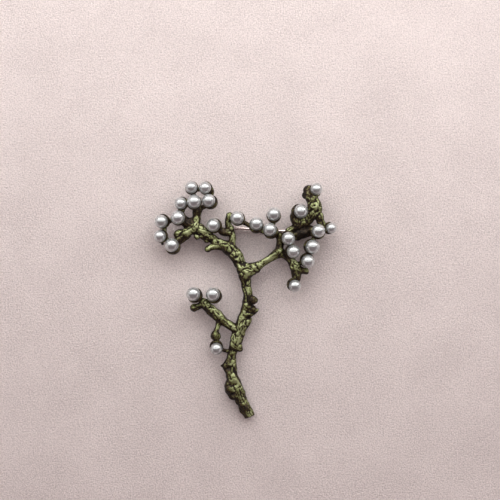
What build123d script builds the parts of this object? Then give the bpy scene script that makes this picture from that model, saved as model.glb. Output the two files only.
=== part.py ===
from build123d import *
import math
import os

# A tree branch brooch seen from the front: a cast branch, its pearls and its pin
# The branch lies in the XY plane with its foot towards -Y, and its back faces -Z

# Pearl diameters
large_pearl = 4.1
middle_pearl = 3.9
small_pearl = 3.55
tip_pearl = 3.1

# Cups: each is a ball a little larger than its pearl, cut off square in front
cup_wall = 0.3
cup_sink = 1.1
rim_drop = 0.62
seat_gap = 0.08
link_thickness = 1.5

# Limbs: the straight run from a limb's root to its end, its heading and its thickness
trunk_run = 42.1
trunk_heading = -88.6
trunk_thickness = 3.2
left_arm_run = 20.4
left_arm_heading = 139.0
arm_thickness = 2.8
riser_run = 5.1
riser_heading = 75.0
reach_run = 4.8
reach_heading = -147.0
left_spur_run = 4.2
left_spur_heading = -172.0
twig_run = 10.3
twig_heading = 93.2
twig_side_run = 2.8
twig_side_heading = 168.0
twig_thickness = 1.85
right_stem_run = 5.2
right_stem_heading = -91.0
right_thickness = 2.5
low_limb_run = 9.05
low_limb_heading = -54.8
low_spur_run = 2.6
low_spur_heading = -19.0
crown_run = 13.1
crown_heading = 66.6
crown_thickness = 2.9
stalk_run = 2.9
stalk_heading = 101.0
crown_side_run = 4.7
crown_side_heading = -63.6
brace_thickness = 2.7
side_branch_run = 13.1
side_branch_heading = 140.4
side_branch_thickness = 2.7
side_knob_run = 3.2
side_knob_heading = -157.0
down_twig_run = 5.3
down_twig_heading = -102.5
strut_run = 3.65
strut_heading = 161.6
strut_thickness = 0.9

# Heights of the middle of the limbs above the surface that the brooch lies on
fork_height = 4.0
left_elbow_height = 4.6
left_tip_height = 4.7
twig_height = 4.6
right_joint_height = 4.4
right_elbow_height = 4.2
low_limb_height = 4.1
crown_height = 4.9
side_branch_height = 3.7
strut_height = 3.3
brace_height = 3.7

# Heights of the pearls' middles
blossom_height = 6.4
side_blossom_height = 5.7
hanging_height = 4.3

# Pin: the stem turns on a rivet between two ears, and its point lies in a catch
stem_diameter = 0.75
stem_height = 1.0
stem_root_diameter = 1.2
stem_root_length = 5.6
stem_point_length = 2.6
stem_overhang = 1.3
rivet_diameter = 0.8
rivet_clearance = 0.05
eye_wall = 0.5
eye_thickness = 1.0
ear_clearance = 0.12
ear_thickness = 0.6
ear_breadth = 1.6
catch_length = 2.2
catch_wall = 0.55
catch_clearance = 0.15
catch_offset = 0.6

# Sections of the limbs: place along the run, offset to its left and swell
# Offsets are shares of the run, and a swell of 1 is the limb's usual thickness
trunk_sections = [
    (0.00, 0.000, 1.18),
    (0.06, -0.006, 0.97),
    (0.11, 0.000, 0.87),
    (0.17, 0.005, 0.83),
    (0.23, 0.001, 0.90),
    (0.28, -0.012, 0.92),
    (0.33, -0.030, 1.00),
    (0.39, -0.055, 1.11),
    (0.45, -0.073, 1.08),
    (0.50, -0.090, 1.02),
    (0.56, -0.109, 0.91),
    (0.61, -0.122, 0.95),
    (0.66, -0.125, 1.02),
    (0.72, -0.117, 0.98),
    (0.78, -0.102, 1.12),
    (0.84, -0.077, 1.20),
    (0.90, -0.050, 1.14),
    (0.97, -0.016, 1.05),
    (1.00, 0.000, 1.08),
]
left_arm_sections = [
    (0.00, 0.000, 1.28),
    (0.13, -0.035, 1.16),
    (0.25, -0.078, 1.24),
    (0.36, -0.096, 1.24),
    (0.46, -0.077, 1.06),
    (0.57, -0.063, 0.93),
    (0.69, -0.044, 1.01),
    (0.81, -0.027, 1.12),
    (0.91, -0.019, 1.16),
    (1.00, 0.000, 1.04),
]
left_spur_sections = [(0.00, 0.00, 1.35), (0.41, -0.05, 1.12), (0.76, 0.00, 1.00), (1.00, 0.00, 0.88)]
riser_sections = [(0.00, 0.00, 1.05), (0.45, -0.05, 0.93), (0.75, -0.03, 0.86), (1.00, 0.00, 0.94)]
reach_sections = [(0.00, 0.00, 1.06), (0.36, 0.03, 1.06), (0.72, 0.03, 1.04), (1.00, 0.00, 0.82)]
twig_sections = [
    (0.00, 0.000, 1.42),
    (0.20, 0.009, 1.10),
    (0.39, -0.031, 1.06),
    (0.54, 0.012, 1.00),
    (0.68, 0.072, 1.00),
    (0.85, 0.073, 0.94),
    (1.00, 0.000, 0.94),
]
twig_side_sections = [(0.00, 0.00, 0.88), (0.50, 0.13, 0.94), (1.00, 0.00, 1.08)]
right_arm_sections = [
    (0.00, 0.000, 1.48),
    (0.20, -0.023, 1.28),
    (0.37, -0.034, 1.09),
    (0.56, -0.035, 0.95),
    (0.74, -0.023, 0.93),
    (0.91, -0.006, 1.02),
    (1.00, 0.000, 1.08),
]
right_stem_sections = [(0.00, 0.00, 1.09), (0.30, 0.00, 0.90), (0.60, 0.01, 0.86), (1.00, 0.00, 0.97)]
low_limb_sections = [
    (0.00, 0.000, 1.08),
    (0.21, 0.087, 0.95),
    (0.43, 0.131, 1.00),
    (0.64, 0.156, 1.16),
    (0.84, 0.111, 1.11),
    (1.00, 0.000, 1.00),
]
low_spur_sections = [(0.00, 0.00, 0.97), (0.54, -0.04, 0.84), (1.00, 0.00, 0.72)]
crown_sections = [
    (0.00, 0.000, 0.76),
    (0.12, -0.091, 0.76),
    (0.25, -0.182, 0.86),
    (0.39, -0.254, 1.06),
    (0.55, -0.302, 1.34),
    (0.73, -0.318, 1.44),
    (0.83, -0.223, 1.26),
    (0.91, -0.105, 1.16),
    (1.00, 0.000, 0.90),
]
crown_side_sections = [(0.00, 0.00, 1.04), (0.43, 0.00, 0.96), (0.72, 0.02, 0.86), (1.00, 0.00, 0.78)]
stalk_sections = [(0.00, 0.00, 0.92), (0.50, 0.06, 1.02), (1.00, 0.00, 1.06)]
brace_sections = [
    (0.00, 0.000, 0.98),
    (0.27, 0.030, 1.15),
    (0.50, 0.020, 1.18),
    (0.72, 0.000, 1.15),
    (1.00, 0.000, 1.00),
]
side_branch_sections = [
    (0.00, 0.000, 1.16),
    (0.18, 0.038, 1.00),
    (0.36, 0.053, 0.97),
    (0.51, 0.053, 1.05),
    (0.68, 0.046, 1.18),
    (0.85, 0.030, 1.12),
    (1.00, 0.000, 0.95),
]
side_knob_sections = [(0.00, 0.00, 0.86), (0.49, 0.00, 0.77), (1.00, 0.00, 0.88)]
down_twig_sections = [(0.00, 0.00, 0.73), (0.45, 0.00, 0.56), (0.75, -0.03, 0.68), (1.00, 0.00, 1.00)]
strut_sections = [(0.00, 0.00, 1.25), (0.45, 0.16, 0.94), (1.00, 0.00, 1.06)]


def heading(degrees, rise=0.0):
    # The direction in plan, tipped up by the rise
    flat = math.cos(math.radians(rise))
    return Vector(
        flat * math.cos(math.radians(degrees)),
        flat * math.sin(math.radians(degrees)),
        math.sin(math.radians(rise)),
    )


def step(start, run, degrees, height):
    # The point a run away in plan, at its own height
    end = start + heading(degrees) * run
    return Vector(end.X, end.Y, height)


def limb(start, end, thickness, sections):
    # Shares along, middle points and radii of a limb between two points
    run = end - start
    left = Vector(-run.Y, run.X, 0)
    return [
        (along, start + run * along + left * aside, swell * thickness / 2)
        for along, aside, swell in sections
    ]


def on(stations, share):
    # The point on a limb's middle line at a share of its run
    for (before, start, start_radius), (after, end, end_radius) in zip(stations, stations[1:]):
        if share <= after:
            part = (share - before) / (after - before)
            return start * (1 - part) + end * part
    return stations[-1][1]


def tube(stations):
    # A smooth round limb through its sections
    points = [point for along, point, radius in stations]
    wires = []
    for index, (along, point, radius) in enumerate(stations):
        ahead = points[min(index + 1, len(points) - 1)]
        behind = points[max(index - 1, 0)]
        way = (ahead - behind).normalized()
        across = Vector(0, 0, 1).cross(way)
        wires.append(Wire.make_circle(radius, Plane(origin=point, x_dir=across, z_dir=way)))
    return Solid.make_loft(wires, False)


def rings(origin, way, sections):
    # A smooth round solid through rings, each given by its place along the way and its radius
    across = Vector(0, 0, 1).cross(way)
    if across.length < 0.001:
        across = Vector(0, 1, 0)
    wires = [
        Wire.make_circle(radius, Plane(origin=origin + way * place, x_dir=across, z_dir=way))
        for place, radius in sections
    ]
    return Solid.make_loft(wires, False)


def knot(point, radius):
    # A round lump of metal with small flats above and below
    latitudes = [math.radians(degrees) for degrees in (-72, -45, -15, 15, 45, 72)]
    sections = [(radius * math.sin(angle), radius * math.cos(angle)) for angle in latitudes]
    return rings(point, Vector(0, 0, 1), sections)


def spike(root, tip, root_radius, tip_radius):
    # A blunt stub, thickest at its root
    way = tip - root
    reach = way.length
    sections = [
        (0, root_radius),
        (reach * 0.5, (root_radius + tip_radius) * 0.5),
        (reach, tip_radius),
        (reach + tip_radius * 0.7, tip_radius * 0.6),
    ]
    return rings(root, way.normalized(), sections)


def knob(stations, thickness, share, aside, rise, radius):
    # A lump beside a limb's middle line, with offsets and radius in limb thicknesses
    middle = on(stations, share)
    way = on(stations, min(share + 0.02, 1)) - on(stations, max(share - 0.02, 0))
    left = Vector(-way.Y, way.X, 0).normalized()
    return knot(middle + (left * aside + Vector(0, 0, rise)) * thickness, radius * thickness)


# Joints of the branch that the limbs hang from
fork = Vector(0, 0, fork_height)
foot = step(fork, trunk_run, trunk_heading, trunk_thickness / 2 * trunk_sections[-1][2])
trunk = limb(fork, foot, trunk_thickness, trunk_sections)
left_elbow = step(fork, left_arm_run, left_arm_heading, left_elbow_height)
left_arm = limb(fork, left_elbow, arm_thickness, left_arm_sections)
left_spur_root = on(left_arm, 0.50)
left_spur = limb(
    left_spur_root,
    step(left_spur_root, left_spur_run, left_spur_heading, left_tip_height),
    twig_thickness,
    left_spur_sections,
)
riser = limb(
    left_elbow,
    step(left_elbow, riser_run, riser_heading, left_tip_height),
    arm_thickness,
    riser_sections,
)
reach = limb(
    left_elbow,
    step(left_elbow, reach_run, reach_heading, left_tip_height),
    arm_thickness,
    reach_sections,
)
twig_root = on(left_arm, 0.35)
twig_top = step(twig_root, twig_run, twig_heading, twig_height)
twig = limb(twig_root, twig_top, twig_thickness, twig_sections)
twig_side_root = on(twig, 0.46)
twig_side = limb(
    twig_side_root,
    step(twig_side_root, twig_side_run, twig_side_heading, twig_height),
    twig_thickness,
    twig_side_sections,
)

# Pearls: each name gives its middle, its radius and the way that its cup faces
pearls = {}


def place_pearl(name, diameter, middle, height, lean, tilt):
    point = Vector(middle.X, middle.Y, height)
    pearls[name] = (point, diameter / 2, heading(lean, 90 - tilt))


def from_limb(name, diameter, anchor, reach_share, degrees, height, lean, tilt):
    # A pearl off the end of a limb, with a pitch that is a share of its radius
    middle = anchor + heading(degrees) * (reach_share * diameter / 2)
    place_pearl(name, diameter, middle, height, lean, tilt)


def from_pearl(name, diameter, neighbour, pitch_share, degrees, height, lean, tilt):
    # A pearl beside another, with a pitch that is a share of the touching distance
    point, radius, way = pearls[neighbour]
    pitch = pitch_share * (radius + diameter / 2)
    place_pearl(name, diameter, point + heading(degrees) * pitch, height, lean, tilt)


def between_pearls(name, diameter, first, first_share, second, second_share, height, lean, tilt):
    # A pearl beside two others, on the left of the way from the first to the second
    a, a_radius, a_way = pearls[first]
    b, b_radius, b_way = pearls[second]
    a_pitch = first_share * (a_radius + diameter / 2)
    b_pitch = second_share * (b_radius + diameter / 2)
    gap = Vector(b.X - a.X, b.Y - a.Y, 0)
    along = (gap.length**2 + a_pitch**2 - b_pitch**2) / (2 * gap.length)
    aside = math.sqrt(max(a_pitch**2 - along**2, 0))
    way = gap.normalized()
    middle = a + way * along + Vector(-way.Y, way.X, 0) * aside
    place_pearl(name, diameter, middle, height, lean, tilt)


# Each pearl below: name, diameter, what it stands beside, the pitch to it as a share, the
# heading from it, the height of the pearl's middle, and the heading and tilt of its lean

# Left cluster
from_limb("pearl_04", large_pearl, on(riser, 1), 1.10, 115, blossom_height + 0.3, 90, 10)
from_pearl("pearl_05", middle_pearl, "pearl_04", 1.06, 4, blossom_height, 140, 36)
from_pearl("pearl_01", small_pearl, "pearl_04", 1.10, 101, blossom_height - 0.1, 125, 20)
between_pearls(
    "pearl_02", small_pearl, "pearl_01", 1.12, "pearl_05", 1.04, blossom_height - 0.2, 150, 22
)
from_pearl("pearl_03", small_pearl, "pearl_04", 1.03, -173, blossom_height - 0.1, 175, 28)
from_pearl("pearl_07", large_pearl, "pearl_03", 1.10, -101, blossom_height + 0.3, 155, 20)
from_pearl("pearl_06", middle_pearl, "pearl_07", 1.24, -167, blossom_height - 0.1, 180, 36)
from_pearl("pearl_08", small_pearl, "pearl_06", 1.15, -95, blossom_height - 0.4, 180, 33)
from_pearl("pearl_09", large_pearl, "pearl_08", 1.13, -37, blossom_height - 0.3, 125, 34)

# Twig and the row of cups that bridges to the right side
from_limb("pearl_10", middle_pearl, on(twig_side, 1), 1.66, 140, blossom_height, 180, 28)
from_limb("pearl_11", middle_pearl, twig_top, 1.17, -20, blossom_height + 0.2, 130, 15)
from_pearl("pearl_12", middle_pearl, "pearl_11", 1.48, -17, blossom_height, 90, 34)
from_pearl("pearl_14", middle_pearl, "pearl_12", 1.10, -23, blossom_height + 0.1, 118, 36)
from_pearl("pearl_13", middle_pearl, "pearl_14", 1.17, 76, blossom_height - 0.2, 90, 22)

# Right side, from the joint beside the row
row_end, row_radius, row_way = pearls["pearl_14"]
right_joint = step(row_end, row_radius * 1.78, -34, right_joint_height)
right_elbow = step(right_joint, right_stem_run, right_stem_heading, right_elbow_height)
right_stem = limb(right_elbow, right_joint, right_thickness, right_stem_sections)
right_arm = limb(fork, right_elbow, right_thickness, right_arm_sections)
low_end = step(right_elbow, low_limb_run, low_limb_heading, low_limb_height)
low_limb = limb(right_elbow, low_end, right_thickness, low_limb_sections)
low_spur_root = on(low_limb, 0.66)
low_spur = limb(
    low_spur_root,
    step(low_spur_root, low_spur_run, low_spur_heading, low_limb_height),
    right_thickness,
    low_spur_sections,
)
from_limb("pearl_15", middle_pearl, right_joint, 1.32, -15, blossom_height + 0.2, -45, 15)
from_pearl("pearl_16", middle_pearl, "pearl_15", 1.04, -69, blossom_height - 0.1, 0, 20)
from_limb("pearl_23", small_pearl, low_end, 1.09, -112, blossom_height - 0.5, -45, 33)
crown_base, crown_base_radius, crown_base_way = pearls["pearl_15"]
crown_root = step(crown_base, crown_base_radius * 0.95, 77, right_joint_height)
crown_top = step(crown_root, crown_run, crown_heading, crown_height)
crown = limb(crown_root, crown_top, crown_thickness, crown_sections)
crown_side_root = on(crown, 0.66)
crown_side_end = step(crown_side_root, crown_side_run, crown_side_heading, right_joint_height)
crown_side = limb(crown_side_root, crown_side_end, crown_thickness, crown_side_sections)
stalk_root = on(crown, 0.25)
stalk_end = step(stalk_root, stalk_run, stalk_heading, crown_height - 0.2)
stalk = limb(stalk_root, stalk_end, crown_thickness, stalk_sections)
from_limb("pearl_17", large_pearl, stalk_root, 1.98, 94, blossom_height, 45, 33)
from_limb("pearl_18", small_pearl, crown_top, 1.42, 11, blossom_height - 0.3, 45, 45)
from_limb("pearl_19", middle_pearl, crown_side_end, 1.01, -121, blossom_height + 0.1, 60, 20)
from_pearl("pearl_20", tip_pearl, "pearl_19", 1.10, 12, blossom_height - 0.9, 0, 36)
from_pearl("pearl_21", large_pearl, "pearl_19", 1.22, -110, blossom_height, 0, 22)
from_pearl("pearl_22", middle_pearl, "pearl_21", 1.11, -107, blossom_height - 0.1, -45, 24)

# Side branch low on the left
side_root = on(trunk, 0.41)
side_end = step(side_root, side_branch_run, side_branch_heading, side_branch_height)
side_branch = limb(side_root, side_end, side_branch_thickness, side_branch_sections)
side_knob = limb(
    side_end,
    step(side_end, side_knob_run, side_knob_heading, side_branch_height),
    side_branch_thickness,
    side_knob_sections,
)
down_twig_root = on(side_branch, 0.50)
down_twig_end = step(down_twig_root, down_twig_run, down_twig_heading, hanging_height - 0.4)
down_twig = limb(down_twig_root, down_twig_end, side_branch_thickness, down_twig_sections)
strut_root = on(trunk, 0.545)
strut = limb(
    strut_root,
    step(strut_root, strut_run, strut_heading, strut_height),
    strut_thickness,
    strut_sections,
)
from_limb("pearl_24", large_pearl, side_end, 1.93, 140, side_blossom_height, 140, 33)
from_limb("pearl_25", large_pearl, side_end, 1.75, 43, side_blossom_height, 135, 33)
from_limb("pearl_26", small_pearl, down_twig_end, 1.96, -87, hanging_height, -87, 34)


def cup_root(name):
    # The point in a cup's floor that its links run to
    point, radius, way = pearls[name]
    return point - way * (cup_sink + radius * 0.55)


def cup(name):
    # A bowl behind the pearl: a ball of the pearl's radius and wall, cut off at the rim
    point, radius, way = pearls[name]
    bowl_radius = radius + cup_wall
    places = [rim_drop] + [cup_sink + bowl_radius * share for share in (0, 0.5, 0.8, 0.95)]
    sections = [
        (place, math.sqrt(bowl_radius**2 - (place - cup_sink) ** 2))
        for place in places
    ]
    return rings(point, -way, sections)


def seat(name):
    # The hollow that the pearl sits in, which also clears the limbs around it
    point, radius, way = pearls[name]
    across = Vector(0, 0, 1).cross(way)
    return Solid.make_sphere(radius + seat_gap, Plane(origin=point, x_dir=across, z_dir=way))


def below(name, height):
    # The point under a pearl's middle at a given height
    point, radius, way = pearls[name]
    return Vector(point.X, point.Y, height)


def link(start, end, thickness):
    # A plain round rod between two points inside what it joins
    way = end - start
    return Solid.make_cylinder(thickness / 2, way.length, Plane(origin=start, z_dir=way))


# Links: what each cup is carried by, as points inside the metal
links = [
    (on(riser, 1), cup_root("pearl_04")),
    (on(riser, 1), cup_root("pearl_05")),
    (cup_root("pearl_04"), cup_root("pearl_01")),
    (cup_root("pearl_01"), cup_root("pearl_02")),
    (cup_root("pearl_05"), cup_root("pearl_02")),
    (cup_root("pearl_04"), cup_root("pearl_03")),
    (left_elbow, cup_root("pearl_03")),
    (left_elbow, cup_root("pearl_07")),
    (cup_root("pearl_03"), cup_root("pearl_07")),
    (cup_root("pearl_07"), cup_root("pearl_06")),
    (cup_root("pearl_06"), cup_root("pearl_08")),
    (cup_root("pearl_08"), cup_root("pearl_09")),
    (on(reach, 1), cup_root("pearl_09")),
    (on(twig_side, 1), cup_root("pearl_10")),
    (twig_top, cup_root("pearl_11")),
    (cup_root("pearl_11"), cup_root("pearl_12")),
    (cup_root("pearl_12"), cup_root("pearl_14")),
    (cup_root("pearl_13"), cup_root("pearl_14")),
    (right_joint, cup_root("pearl_14")),
    (right_joint, cup_root("pearl_15")),
    (cup_root("pearl_15"), cup_root("pearl_16")),
    (right_elbow, cup_root("pearl_16")),
    (low_end, cup_root("pearl_23")),
    (on(low_limb, 0.60), cup_root("pearl_22")),
    (cup_root("pearl_22"), cup_root("pearl_21")),
    (cup_root("pearl_21"), cup_root("pearl_19")),
    (crown_side_end, cup_root("pearl_19")),
    (crown_side_end, cup_root("pearl_20")),
    (on(crown, 0.20), cup_root("pearl_17")),
    (crown_top, cup_root("pearl_18")),
    (crown_root, cup_root("pearl_15")),
    (on(crown, 0.20), below("pearl_15", brace_height)),
    (side_end, cup_root("pearl_24")),
    (side_end, cup_root("pearl_25")),
    (down_twig_end, cup_root("pearl_26")),
]

brace = limb(
    below("pearl_15", brace_height),
    below("pearl_19", brace_height),
    brace_thickness,
    brace_sections,
)

# Knobs: limb, its thickness, share along, offset left and up, and radius, in thicknesses
knobs = [
    (trunk, trunk_thickness, 0.00, 0.00, 0.00, 0.64),
    (trunk, trunk_thickness, 0.18, 0.47, 0.06, 0.43),
    (trunk, trunk_thickness, 0.26, 0.50, 0.00, 0.44),
    (trunk, trunk_thickness, 0.35, 0.60, 0.06, 0.26),
    (trunk, trunk_thickness, 0.53, 0.56, 0.00, 0.26),
    (trunk, trunk_thickness, 0.82, -0.52, -0.06, 0.56),
    (left_arm, arm_thickness, 0.74, 0.38, -0.10, 0.36),
    (left_arm, arm_thickness, 0.86, 0.62, -0.05, 0.35),
    (left_arm, arm_thickness, 1.00, 0.00, 0.00, 0.54),
    (reach, arm_thickness, 0.66, 0.00, 0.06, 0.56),
    (reach, arm_thickness, 1.00, 0.00, 0.00, 0.42),
    (riser, arm_thickness, 1.00, 0.00, 0.00, 0.38),
    (left_spur, twig_thickness, 1.00, 0.00, 0.00, 0.46),
    (twig, twig_thickness, 0.66, 0.00, 0.00, 0.54),
    (twig, twig_thickness, 1.00, 0.00, 0.00, 0.49),
    (twig_side, twig_thickness, 1.00, 0.00, 0.00, 0.56),
    (right_stem, right_thickness, 0.00, 0.00, 0.00, 0.56),
    (right_stem, right_thickness, 1.00, 0.00, 0.00, 0.50),
    (low_limb, right_thickness, 0.62, 0.00, 0.05, 0.62),
    (low_limb, right_thickness, 1.00, 0.00, 0.00, 0.50),
    (low_spur, right_thickness, 1.00, 0.00, 0.00, 0.38),
    (crown, crown_thickness, 0.66, -0.12, 0.10, 0.72),
    (crown, crown_thickness, 1.00, 0.00, 0.00, 0.40),
    (crown_side, crown_thickness, 1.00, 0.00, 0.00, 0.41),
    (side_branch, side_branch_thickness, 0.66, 0.10, 0.05, 0.62),
    (side_branch, side_branch_thickness, 1.00, 0.00, 0.00, 0.48),
    (side_knob, side_branch_thickness, 1.00, 0.00, 0.00, 0.43),
    (down_twig, side_branch_thickness, 1.00, 0.00, 0.00, 0.56),
    (strut, strut_thickness, 1.00, 0.00, 0.00, 0.58),
]

# Stubs on the trunk: share along, heading, reach, root radius and tip radius, in thicknesses
trunk_stubs = [
    (0.26, -2, 1.00, 0.36, 0.12),
    (0.66, 174, 0.80, 0.40, 0.20),
]


def pin_frame():
    # The stem's line in plan, from the rivet under the twig to the catch under the brace
    hinge = on(twig, 0.66)
    hold = on(brace, 0.50) + heading(90) * catch_offset
    rivet = Vector(hinge.X, hinge.Y, stem_height)
    end = Vector(hold.X, hold.Y, stem_height)
    return Plane(origin=rivet, x_dir=end - rivet, z_dir=Vector(0, 0, 1)), (end - rivet).length


pin_plane, pin_reach = pin_frame()
rivet_radius = rivet_diameter / 2
eye_radius = rivet_radius + rivet_clearance + eye_wall
ear_offset = eye_thickness / 2 + ear_clearance
stem_end = pin_reach + stem_overhang


def across_plane(along, aside, height):
    # A frame on the stem's own line whose Z runs along the rivet
    return Plane(origin=(along, aside, height), z_dir=(0, 1, 0))


def block(length, breadth, height, along, bottom):
    # A box centred on the stem's line, from a place along it and a height from the stem
    return Solid.make_box(length, breadth, height, Plane((along, -breadth / 2, bottom)))


def pin_stem():
    # A flat eye on the rivet, a swaged root, a plain wire and a point
    eye = Solid.make_cylinder(eye_radius, eye_thickness, across_plane(0, -eye_thickness / 2, 0))
    outline = [
        (0, 0),
        (0, stem_root_diameter * 0.4),
        (eye_radius, stem_root_diameter * 0.5),
        (stem_root_length * 0.5, stem_root_diameter * 0.48),
        (stem_root_length, stem_diameter * 0.5),
        (stem_end - stem_point_length, stem_diameter * 0.5),
        (stem_end - stem_point_length * 0.2, stem_diameter * 0.2),
        (stem_end, stem_diameter * 0.06),
        (stem_end, 0),
    ]
    profile = Wire.make_polygon([Vector(along, 0, radius) for along, radius in outline])
    shank = Solid.revolve(Face(profile), 360, Axis.X)
    bore_radius = rivet_radius + rivet_clearance
    bore = Solid.make_cylinder(bore_radius, eye_thickness * 2, across_plane(0, -eye_thickness, 0))
    return eye.fuse(shank).cut(bore)


def hinge_pieces():
    # Two ears on a bridge under the twig, and the rivet that runs through both
    span = ear_offset + ear_thickness
    top = twig_height - twig_thickness * 0.25
    bridge_bottom = eye_radius + ear_clearance
    ears = block(ear_breadth, span * 2, top, -ear_breadth / 2, -stem_height)
    slot_bottom = -stem_height * 2
    slot_length = ear_breadth * 2
    slot = block(slot_length, ear_offset * 2, bridge_bottom - slot_bottom, -ear_breadth, slot_bottom)
    rivet = Solid.make_cylinder(rivet_radius, span * 2, across_plane(0, -span, 0))
    return [ears.cut(slot), rivet]


def catch_piece():
    # A channel over the stem's point under the brace, open downwards
    inner = stem_diameter / 2 + catch_clearance
    outer = inner + catch_wall
    start = pin_reach - catch_length / 2
    body = block(catch_length, outer * 2, brace_height, start, -stem_height)
    slot_bottom = -stem_height * 2
    slot = block(catch_length * 2, inner * 2, inner - slot_bottom, start - catch_length / 2, slot_bottom)
    return body.cut(slot)


def branch():
    # The whole casting as one solid, with the pearls' seats cut in it
    limbs = [
        trunk, left_arm, left_spur, riser, reach, twig, twig_side, right_stem, right_arm,
        low_limb, low_spur, crown, crown_side, stalk, brace, side_branch, side_knob, down_twig, strut,
    ]
    metal = [tube(stations) for stations in limbs]
    metal += [knob(*row) for row in knobs]
    metal += [link(start, end, link_thickness) for start, end in links]
    for share, degrees, reach_share, root_share, tip_share in trunk_stubs:
        root = on(trunk, share)
        tip = root + heading(degrees) * (trunk_thickness * reach_share)
        metal.append(spike(root, tip, trunk_thickness * root_share, trunk_thickness * tip_share))
    casting = metal[0].fuse(*metal[1:])
    casting = casting.fuse(*[cup(name) for name in pearls])
    fittings = hinge_pieces() + [catch_piece()]
    casting = casting.fuse(*[pin_plane.location * piece for piece in fittings])
    return casting.cut(*[seat(name) for name in pearls])


nodes = {"branch": branch()}
for name in sorted(pearls):
    point, radius, way = pearls[name]
    nodes[name] = Solid.make_sphere(radius, Plane(point))
nodes["pin_stem"] = pin_plane.location * pin_stem()

# The origin is under the middle of the whole brooch, on the surface that it lies on
boxes = [shape.bounding_box() for shape in nodes.values()]
low = Vector(*[min(tuple(box.min)[axis] for box in boxes) for axis in range(3)])
high = Vector(*[max(tuple(box.max)[axis] for box in boxes) for axis in range(3)])
centre = Vector((low.X + high.X) / 2, (low.Y + high.Y) / 2, low.Z)

os.makedirs("parts", exist_ok=True)
for name, shape in nodes.items():
    export_step(shape.moved(Location(-centre)), "parts/" + name + ".step")

print("size", high - low, "solids of the branch", len(nodes["branch"].solids()))
print("rivet", pin_plane.origin - centre, "stem way", pin_plane.x_dir, "rivet way", pin_plane.y_dir)
print("plain wire from", stem_root_length, "to", stem_end - stem_point_length, "along the stem")
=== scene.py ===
import math

import bpy
import numpy as np
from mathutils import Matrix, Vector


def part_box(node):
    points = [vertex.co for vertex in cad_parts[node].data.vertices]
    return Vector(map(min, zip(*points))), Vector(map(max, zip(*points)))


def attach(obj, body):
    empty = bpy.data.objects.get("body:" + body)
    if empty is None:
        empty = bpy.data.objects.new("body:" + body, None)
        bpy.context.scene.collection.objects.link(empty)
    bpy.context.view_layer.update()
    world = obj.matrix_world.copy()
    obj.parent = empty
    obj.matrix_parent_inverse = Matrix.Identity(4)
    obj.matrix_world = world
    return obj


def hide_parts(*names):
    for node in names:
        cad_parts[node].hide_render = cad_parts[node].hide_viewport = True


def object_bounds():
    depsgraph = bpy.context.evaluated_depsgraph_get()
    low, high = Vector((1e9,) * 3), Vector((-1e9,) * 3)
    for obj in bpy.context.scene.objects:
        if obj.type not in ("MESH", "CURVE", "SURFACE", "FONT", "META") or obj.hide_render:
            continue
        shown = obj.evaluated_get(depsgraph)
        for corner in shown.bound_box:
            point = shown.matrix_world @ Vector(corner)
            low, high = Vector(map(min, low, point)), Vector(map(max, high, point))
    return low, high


# A tree branch brooch: a cast branch under green lacquer, pearl beads in cups, and a pin behind
# Tables are in millimetres in the frame's own axes, and each finished mesh is put in metres
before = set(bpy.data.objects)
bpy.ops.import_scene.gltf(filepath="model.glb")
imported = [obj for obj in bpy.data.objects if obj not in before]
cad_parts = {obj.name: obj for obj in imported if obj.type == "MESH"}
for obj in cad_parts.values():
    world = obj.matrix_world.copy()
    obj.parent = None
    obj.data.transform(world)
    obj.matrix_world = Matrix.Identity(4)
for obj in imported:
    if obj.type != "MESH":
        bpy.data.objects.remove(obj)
cadBox = [[float(value) for value in corner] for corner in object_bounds()]
scene = bpy.context.scene
metre = 0.001
print("frame loaded")

noise = {
    "primes": (73856093, 19349663, 83492791),  # one for each axis of the lattice
    "mixer": 1274126177,
    "levels": 65536,
    "seedShift": 17.37,
    "pushSize": 1.7, "pushReach": 0.6,  # crumple: shares of the noise's own size
}


def toLinear(code):
    # sRGB hex to linear: c / 12.92 below 0.04045, and ((c + 0.055) / 1.055) ^ 2.4 above
    values = np.array([int(code[at:at + 2], 16) for at in (1, 3, 5)]) / 255
    low = values / 12.92
    high = ((values + 0.055) / 1.055) ** 2.4
    return tuple(np.where(values <= 0.04045, low, high)) + (1.0,)


def unit(vectors):
    return vectors / np.maximum(np.linalg.norm(vectors, axis=-1, keepdims=True), 1e-12)


def smoothNoise(points, size, seed):
    # Value noise from -1 to 1: random numbers on a lattice of that size, eased in between
    places = np.asarray(points) / size + seed * noise["seedShift"]
    cell = np.floor(places).astype(np.int64)
    ease = places - cell
    ease = ease * ease * (3 - 2 * ease)
    total = np.zeros(places.shape[:-1])
    for corner in np.ndindex(2, 2, 2):
        spot = (cell + np.array(corner)) * np.array(noise["primes"])
        mixed = spot[..., 0] ^ spot[..., 1] ^ spot[..., 2]
        mixed = (mixed ^ (mixed >> 13)) * noise["mixer"] & 0x7FFFFFFF
        share = np.prod(np.where(np.array(corner) == 1, ease, 1 - ease), axis=-1)
        total += share * ((mixed ^ (mixed >> 15)) % noise["levels"]) / ((noise["levels"] - 1) / 2)
    return total - 1


def layeredNoise(points, layers, seed=0, start=0.0):
    # start + share x noise, summed over layers of (share, size, seed)
    return sum((share * smoothNoise(points, size, seed + own) for share, size, own in layers), start)


def crumple(points, size, seed):
    # Noise at points pushed about by noise: its zero lines are where the bark is creased
    pushSize = size * noise["pushSize"]
    push = np.stack([smoothNoise(points, pushSize, seed + axis) for axis in (1, 2, 3)], axis=-1)
    return smoothNoise(points + noise["pushReach"] * size * push, size, seed)


def smoothStep(values, low, high):
    t = np.clip((values - low) / (high - low), 0, 1)
    return t * t * (3 - 2 * t)


def fullTurn(count):
    return np.linspace(0, 2 * math.pi, count, endpoint=False)


def spreadOut(x, y, z):
    # Three values, each given along the rows, across them or for every point, as one grid of triples
    return np.stack(np.broadcast_arrays(x, y, z), axis=-1)


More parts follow.
